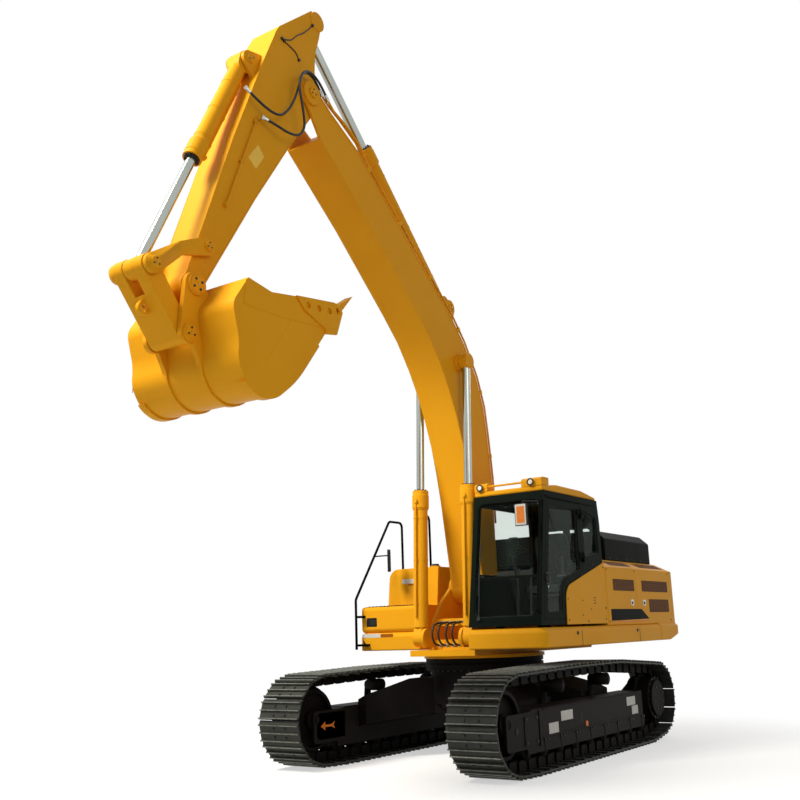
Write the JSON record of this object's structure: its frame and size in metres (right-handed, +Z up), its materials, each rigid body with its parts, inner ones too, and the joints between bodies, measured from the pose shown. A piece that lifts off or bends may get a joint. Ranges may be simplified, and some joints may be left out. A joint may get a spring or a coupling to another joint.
{
  "type": "crawler excavator",
  "caption": "Tracked hydraulic excavator with a slewing cab and tail, boom, arm and bucket on hydraulic cylinders, raised and curled as it parks on show.",
  "frame": {"origin": "on the swing axis at ground level, midway between the tracks", "axes": "+X forward to the idlers and the boom, +Y left to the cab's side, +Z up the swing axis"},
  "size_m": [9.5486, 3.19, 8.6572],
  "materials": {
    "yellow_paint": "satin",
    "undercarriage_paint": "satin",
    "track_steel": "worn",
    "engine_iron": "matt",
    "black_hood_paint": "satin",
    "black_rail_paint": "satin",
    "cab_paint": "satin",
    "glass": "clear",
    "rubber": "matt",
    "seat_fabric": "woven",
    "black_plastic": "grained",
    "chrome_rod": "polished",
    "hose_rubber": "satin"
  },
  "bodies": {
    "undercarriage": {"centre_frame": "undercarriage_paint", "slewing_ring": "undercarriage_paint", "track_left": "track_steel", "side_frame_left": "undercarriage_paint", "idler_left": "undercarriage_paint", "final_drive_left": "undercarriage_paint", "lower_rollers_left": "undercarriage_paint", "carrier_rollers_left": "undercarriage_paint", "track_right": "track_steel", "side_frame_right": "undercarriage_paint", "idler_right": "undercarriage_paint", "final_drive_right": "undercarriage_paint", "lower_rollers_right": "undercarriage_paint", "carrier_rollers_right": "undercarriage_paint"},
    "house": {"main_deck": "yellow_paint", "sill_left": "yellow_paint", "sill_right": "yellow_paint", "side_cover_left": "yellow_paint", "side_cover_right": "yellow_paint", "counterweight": "yellow_paint", "engine_block": "engine_iron", "engine_hood": "black_hood_paint", "fuel_tank": "yellow_paint", "tool_box": "yellow_paint", "handrails": "black_rail_paint", "cab_shell": "cab_paint", "cab_roof": "yellow_paint", "cab_glass": "glass", "cab_mounts": "rubber", "operator_seat": "seat_fabric", "control_consoles": "black_plastic", "cab_side_panel": "yellow_paint", "roof_lamps": "yellow_paint", "mirror_left": "black_plastic", "mirror_right": "black_plastic", "exhaust_pipe": "black_hood_paint", "front_hose_1": "hose_rubber", "front_hose_2": "hose_rubber", "front_hose_3": "hose_rubber", "front_hose_4": "hose_rubber"},
    "door": {"cab_door": "cab_paint", "door_glass": "glass"},
    "boom": {"boom": "yellow_paint", "boom_pipes": "yellow_paint", "arm_hose_1": "hose_rubber", "arm_hose_2": "hose_rubber"},
    "arm": {"arm": "yellow_paint", "arm_pipe": "yellow_paint"},
    "guide_links": {"guide_links": "yellow_paint"},
    "bucket_link": {"bucket_link": "yellow_paint"},
    "bucket": {"bucket": "yellow_paint"},
    "boom_cylinder_tubes": {"boom_cylinder_barrel": "yellow_paint"},
    "boom_rods": {"boom_cylinder_rod": "chrome_rod"},
    "arm_cylinder_tube": {"arm_cylinder_barrel": "yellow_paint"},
    "arm_rod": {"arm_cylinder_rod": "chrome_rod"},
    "bucket_cylinder_tube": {"bucket_cylinder_barrel": "yellow_paint"},
    "bucket_rod": {"bucket_cylinder_rod": "chrome_rod"}
  },
  "joints": [
    {"name": "swing", "type": "hinge", "parent": "undercarriage", "child": "house", "pos_m": [0, 0, 1.18], "axis": [0, 0, 1], "continuous": true},
    {"name": "boom_lift", "type": "hinge", "parent": "house", "child": "boom", "pos_m": [0.15, 0, 2.05], "axis": [0, -1, 0], "range_deg": [-96, 3]},
    {"name": "arm_crowd", "type": "hinge", "parent": "boom", "child": "arm", "pos_m": [3.66352, 0, 7.50192], "axis": [0, 1, 0], "range_deg": [-83, 27]},
    {"name": "bucket_curl", "type": "hinge", "parent": "arm", "child": "bucket", "pos_m": [5.3504, 0, 4.72749], "axis": [0, 1, 0], "range_deg": [-155, 4]},
    {"name": "door_swing", "type": "hinge", "parent": "house", "child": "door", "pos_m": [-0.063, 1.474, 2.3], "axis": [0, 0, 1], "range_deg": [0, 165]},
    {"name": "boom_cylinder_tilt", "type": "hinge", "parent": "house", "child": "boom_cylinder_tubes", "pos_m": [0.91, 0, 1.44], "axis": [0, -1, 0], "range_deg": [-101, 4]},
    {"name": "boom_rod_slide", "type": "slide", "parent": "boom_cylinder_tubes", "child": "boom_rods", "axis": [-0.0545, 0, 0.9985], "range_m": [-1.444, 0.055]},
    {"name": "arm_cylinder_tilt", "type": "hinge", "parent": "boom", "child": "arm_cylinder_tube", "pos_m": [0.69734, 0, 5.74216], "axis": [0, -1, 0], "range_deg": [-2, 4]},
    {"name": "arm_rod_slide", "type": "slide", "parent": "arm_cylinder_tube", "child": "arm_rod", "axis": [0.7057, 0, 0.7085], "range_m": [-1.333, 0.44]},
    {"name": "bucket_cylinder_tilt", "type": "hinge", "parent": "arm", "child": "bucket_cylinder_tube", "pos_m": [4.52844, 0, 7.55381], "axis": [0, -1, 0], "range_deg": [-1, 2]},
    {"name": "bucket_rod_slide", "type": "slide", "parent": "bucket_cylinder_tube", "child": "bucket_rod", "axis": [0.4312, 0, -0.9023], "range_m": [-1.19, 0.04]},
    {"name": "guide_link_swing", "type": "hinge", "parent": "arm", "child": "guide_links", "pos_m": [5.20466, 0, 5.15967], "axis": [0, 1, 0], "range_deg": [-108, 4]},
    {"name": "bucket_link_swing", "type": "hinge", "parent": "bucket", "child": "bucket_link", "pos_m": [5.42113, 0, 4.24735], "axis": [0, 1, 0], "range_deg": [-4, 108]}
  ],
  "couplings": [
    {"joint": "boom_cylinder_tilt", "follows": "boom_lift", "ratio": 1.0445},
    {"joint": "boom_rod_slide", "follows": "boom_lift", "m_per_rad": 0.8561},
    {"joint": "arm_cylinder_tilt", "follows": "arm_crowd", "ratio": -0.03},
    {"joint": "arm_rod_slide", "follows": "arm_crowd", "m_per_rad": 0.91328},
    {"joint": "bucket_cylinder_tilt", "follows": "bucket_curl", "ratio": -0.0042},
    {"joint": "bucket_rod_slide", "follows": "bucket_curl", "m_per_rad": 0.4362},
    {"joint": "guide_link_swing", "follows": "bucket_curl", "ratio": 0.692},
    {"joint": "bucket_link_swing", "follows": "bucket_curl", "ratio": -0.688}
  ]
}
